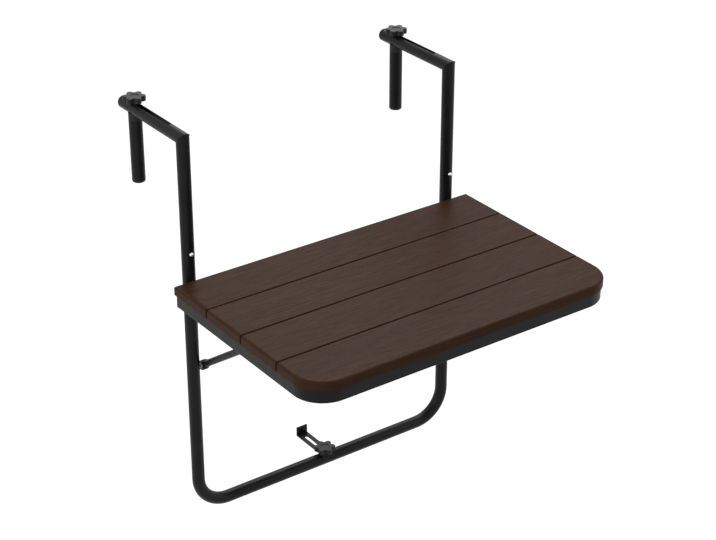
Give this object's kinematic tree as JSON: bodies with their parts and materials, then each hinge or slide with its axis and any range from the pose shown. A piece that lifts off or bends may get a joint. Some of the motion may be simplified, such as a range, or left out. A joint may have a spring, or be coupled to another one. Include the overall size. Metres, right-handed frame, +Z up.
{
  "type": "balcony railing bar table",
  "caption": "Folding slatted table that hangs from a balcony railing on two hooks with sliding pegs, carried by a bent tube frame and a support bail",
  "frame": {"origin": "The seat of the hooks on the rail: midway between the two hooks, on the undersides of their arms, in the plane of the posts' back faces", "axes": "+X along the railing, to the right for someone who sits at the table; +Y from the table through the railing; +Z up"},
  "size_m": [0.6, 0.596, 0.7295],
  "materials": {
    "powder_coat": "black powder coat, satin, slightly pebbled",
    "slat_wood": "dark brown, embossed grain, satin",
    "black_plastic": "moulded, fine texture",
    "zinc_steel": "zinc plated",
    "bright_steel": "bright plated",
    "spring_steel": "blued spring steel",
    "pale_spacer": "moulded nylon, matt"
  },
  "bodies": {
    "frame": {"lower_frame": "powder_coat", "hook_upright_left": "powder_coat", "hook_upright_right": "powder_coat", "hook_arm_left": "powder_coat", "hook_arm_right": "powder_coat", "arm_end_cap_left": "black_plastic", "arm_end_cap_right": "black_plastic", "button_spring_left": "spring_steel", "button_spring_right": "spring_steel", "hinge_screw_left": "zinc_steel", "hinge_screw_right": "zinc_steel", "bail_screw_left": "zinc_steel", "bail_screw_right": "zinc_steel", "bail_spacer_left": "pale_spacer", "bail_spacer_right": "pale_spacer", "post_inserts": "zinc_steel", "stop_screw": "zinc_steel"},
    "tabletop": {"table_slat_1": "slat_wood", "table_slat_2": "slat_wood", "table_slat_3": "slat_wood", "table_slat_4": "slat_wood", "table_rim": "powder_coat", "table_rear_rail": "powder_coat", "table_cross_bar_left": "powder_coat", "table_cross_bar_right": "powder_coat", "slat_screws": "zinc_steel", "hinge_ear_left": "powder_coat", "hinge_ear_right": "powder_coat", "bail_saddle_left": "powder_coat", "bail_saddle_right": "powder_coat"},
    "bail": {"support_bail": "powder_coat"},
    "peg_left": {"peg_tube_left": "powder_coat", "peg_foot_cap_left": "black_plastic", "peg_saddle_left": "black_plastic", "peg_screw_left": "zinc_steel", "peg_washer_left": "zinc_steel"},
    "knob_left": {"peg_knob_left": "black_plastic"},
    "button_left": {"snap_button_left": "bright_steel"},
    "peg_right": {"peg_tube_right": "powder_coat", "peg_foot_cap_right": "black_plastic", "peg_saddle_right": "black_plastic", "peg_screw_right": "zinc_steel", "peg_washer_right": "zinc_steel"},
    "knob_right": {"peg_knob_right": "black_plastic"},
    "button_right": {"snap_button_right": "bright_steel"},
    "stop_clamp": {"stop_washer": "zinc_steel"},
    "stop": {"stop_bracket": "powder_coat"},
    "stop_knob": {"stop_knob": "black_plastic"}
  },
  "joints": [
    {"name": "table_fold", "type": "hinge", "parent": "frame", "child": "tabletop", "pos_m": [0, -0.011, -0.286], "axis": [1, 0, 0], "range_deg": [0, 90]},
    {"name": "bail_swing", "type": "hinge", "parent": "frame", "child": "bail", "pos_m": [0, -0.011, -0.406], "axis": [1, 0, 0], "range_deg": [0, 125.5]},
    {"name": "peg_slide_left", "type": "slide", "parent": "frame", "child": "peg_left", "axis": [0, 1, 0], "range_m": [-0.105, 0]},
    {"name": "peg_knob_turn_left", "type": "hinge", "parent": "peg_left", "child": "knob_left", "pos_m": [-0.264, 0.139, 0.026], "axis": [0, 0, 1], "continuous": true},
    {"name": "button_press_left", "type": "slide", "parent": "frame", "child": "button_left", "axis": [0, 1, 0], "range_m": [0, 0.0044], "stiffness_N_per_m": 1500, "springref_m": -0.003, "deforming": ["button_spring_left"]},
    {"name": "peg_slide_right", "type": "slide", "parent": "frame", "child": "peg_right", "axis": [0, 1, 0], "range_m": [-0.105, 0]},
    {"name": "peg_knob_turn_right", "type": "hinge", "parent": "peg_right", "child": "knob_right", "pos_m": [0.264, 0.139, 0.026], "axis": [0, 0, 1], "continuous": true},
    {"name": "button_press_right", "type": "slide", "parent": "frame", "child": "button_right", "axis": [0, 1, 0], "range_m": [0, 0.0044], "stiffness_N_per_m": 1500, "springref_m": -0.003, "deforming": ["button_spring_right"]},
    {"name": "stop_swivel", "type": "hinge", "parent": "frame", "child": "stop_clamp", "pos_m": [0, -0.011, -0.671], "axis": [0, 0, 1], "range_deg": [-30, 30]},
    {"name": "stop_slide", "type": "slide", "parent": "stop_clamp", "child": "stop", "axis": [0, 1, 0], "range_m": [-0.05, 0]},
    {"name": "stop_knob_turn", "type": "hinge", "parent": "frame", "child": "stop_knob", "pos_m": [0, -0.011, -0.666], "axis": [0, 0, 1], "continuous": true}
  ],
  "couplings": [
    {"joint": "bail_swing", "follows": "table_fold", "ratio": 1.389}
  ]
}
